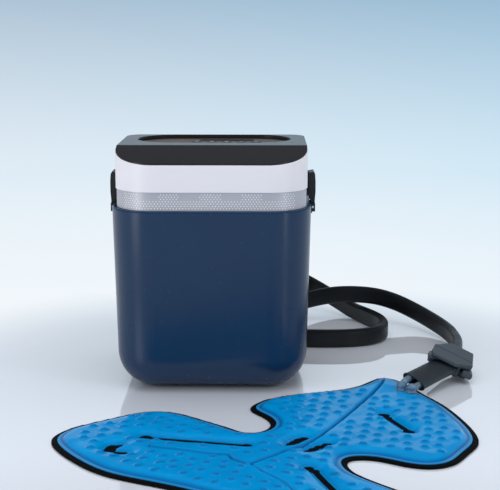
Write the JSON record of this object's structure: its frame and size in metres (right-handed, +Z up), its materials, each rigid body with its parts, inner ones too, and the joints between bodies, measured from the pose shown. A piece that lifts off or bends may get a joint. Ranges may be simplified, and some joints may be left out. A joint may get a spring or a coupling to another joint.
{
  "type": "hot and cold therapy machine",
  "caption": "Insulated tub with a clip-on powered head, side latches and top controls, feeding a flat twin hose, a quick coupler and a leaf-shaped wrap.",
  "frame": {"origin": "middle of the tub's base mat, on its lower face", "axes": "+Z up, the machine's front faces -Y, +X to the right seen from the front"},
  "size_m": [0.5247, 0.8862, 0.313],
  "materials": {
    "tub_plastic": "glossy moulded plastic, deep navy",
    "white_plastic": "glossy moulded plastic, white",
    "silver_band": "satin silver paint",
    "black_gloss": "glossy black",
    "black_plastic": "fine satin black",
    "key_plastic": "satin grey",
    "display_glass": "smoked clear plastic",
    "liner_plastic": "pale grey food-safe plastic",
    "foam": "rigid foam",
    "seal_rubber": "soft black rubber",
    "board": "green laminate",
    "aluminium": "machined",
    "ceramic": "white ceramic",
    "steel": "plain steel",
    "hose_rubber": "satin black flat hose",
    "coupler_plastic": "satin dark grey",
    "sleeve_rubber": "satin black",
    "clear_tube": "clear soft tube",
    "film_blue": "satin blue welded film",
    "backing_fabric": "black brushed fabric"
  },
  "bodies": {
    "machine": {"base_mat": "seal_rubber", "tub_shell": "tub_plastic", "foam_insulation": "foam", "tub_liner": "liner_plastic", "rim_gasket": "seal_rubber", "dock_socket": "black_plastic", "pump_housing": "black_plastic", "pump_motor": "black_plastic", "strainer": "liner_plastic", "supply_tube": "clear_tube", "return_tube": "clear_tube", "hose_port": "black_plastic", "port_screws": "steel", "strain_relief": "seal_rubber", "pump_lead": "seal_rubber", "latch_bracket_left": "black_plastic", "latch_bracket_right": "black_plastic", "latch_pins": "steel", "hose": "hose_rubber", "coupler_hose_half": "coupler_plastic"},
    "head": {"head_ring": "white_plastic", "vent_band": "silver_band", "head_base": "liner_plastic", "top_cover": "black_gloss", "control_panel": "black_plastic", "display_lens": "display_glass", "display_module": "black_plastic", "circuit_board": "board", "board_screws": "steel", "key_switches": "black_plastic", "heat_sink": "aluminium", "thermoelectric_element": "ceramic", "cold_block": "aluminium", "fan_frame": "black_plastic", "temperature_probe": "steel", "power_inlet": "black_plastic", "dock_plug": "black_plastic", "latch_catch_left": "black_plastic", "latch_catch_right": "black_plastic", "catch_screws": "steel"},
    "wrap": {"coupler_wrap_half": "coupler_plastic", "coupler_seals": "seal_rubber", "wrap_sleeve": "sleeve_rubber", "wrap_tubes": "clear_tube", "wrap_ports": "film_blue", "wrap_film": "film_blue", "wrap_backing": "backing_fabric"},
    "fan_rotor": {"fan_rotor": "black_plastic"},
    "impeller": {"impeller": "liner_plastic"},
    "latch_lever_left": {"latch_lever_left": "black_gloss"},
    "latch_lever_right": {"latch_lever_right": "black_gloss"},
    "release_tab_left": {"release_tab_left": "coupler_plastic"},
    "release_tab_right": {"release_tab_right": "coupler_plastic"},
    "power_key": {"power_key": "key_plastic"},
    "mode_key": {"mode_key": "key_plastic"},
    "timer_key": {"timer_key": "key_plastic"},
    "minus_key": {"minus_key": "key_plastic"},
    "plus_key": {"plus_key": "key_plastic"}
  },
  "joints": [
    {"name": "head_lift", "type": "slide", "parent": "machine", "child": "head", "axis": [0, 0, 1], "range_m": [0, 0.06]},
    {"name": "latch_right_swing", "type": "hinge", "parent": "machine", "child": "latch_lever_right", "pos_m": [0.131, 0, 0.2295], "axis": [0, 1, 0], "range_deg": [0, 100]},
    {"name": "latch_left_swing", "type": "hinge", "parent": "machine", "child": "latch_lever_left", "pos_m": [-0.131, 0, 0.2295], "axis": [0, -1, 0], "range_deg": [0, 100]},
    {"name": "fan_spin", "type": "hinge", "parent": "head", "child": "fan_rotor", "pos_m": [0, 0, 0.27], "axis": [0, 0, 1], "continuous": true},
    {"name": "impeller_spin", "type": "hinge", "parent": "machine", "child": "impeller", "pos_m": [0.02, 0.012, 0.036], "axis": [0, 0, 1], "continuous": true},
    {"name": "coupler_pull", "type": "slide", "parent": "machine", "child": "wrap", "axis": [-0.1392, -0.9903, 0], "range_m": [0, 0.014]},
    {"name": "power_key_press", "type": "slide", "parent": "head", "child": "power_key", "axis": [0, 0, -1], "range_m": [0, 0.0008], "stiffness_N_per_m": 400},
    {"name": "mode_key_press", "type": "slide", "parent": "head", "child": "mode_key", "axis": [0, 0, -1], "range_m": [0, 0.0008], "stiffness_N_per_m": 400},
    {"name": "timer_key_press", "type": "slide", "parent": "head", "child": "timer_key", "axis": [0, 0, -1], "range_m": [0, 0.0008], "stiffness_N_per_m": 400},
    {"name": "minus_key_press", "type": "slide", "parent": "head", "child": "minus_key", "axis": [0, 0, -1], "range_m": [0, 0.0008], "stiffness_N_per_m": 400},
    {"name": "plus_key_press", "type": "slide", "parent": "head", "child": "plus_key", "axis": [0, 0, -1], "range_m": [0, 0.0008], "stiffness_N_per_m": 400},
    {"name": "release_tab_right_press", "type": "slide", "parent": "wrap", "child": "release_tab_right", "axis": [-0.8975, 0.1261, 0.4226], "range_m": [0, 0.002], "stiffness_N_per_m": 600},
    {"name": "release_tab_left_press", "type": "slide", "parent": "wrap", "child": "release_tab_left", "axis": [0.8975, -0.1261, -0.4226], "range_m": [0, 0.002], "stiffness_N_per_m": 600}
  ]
}
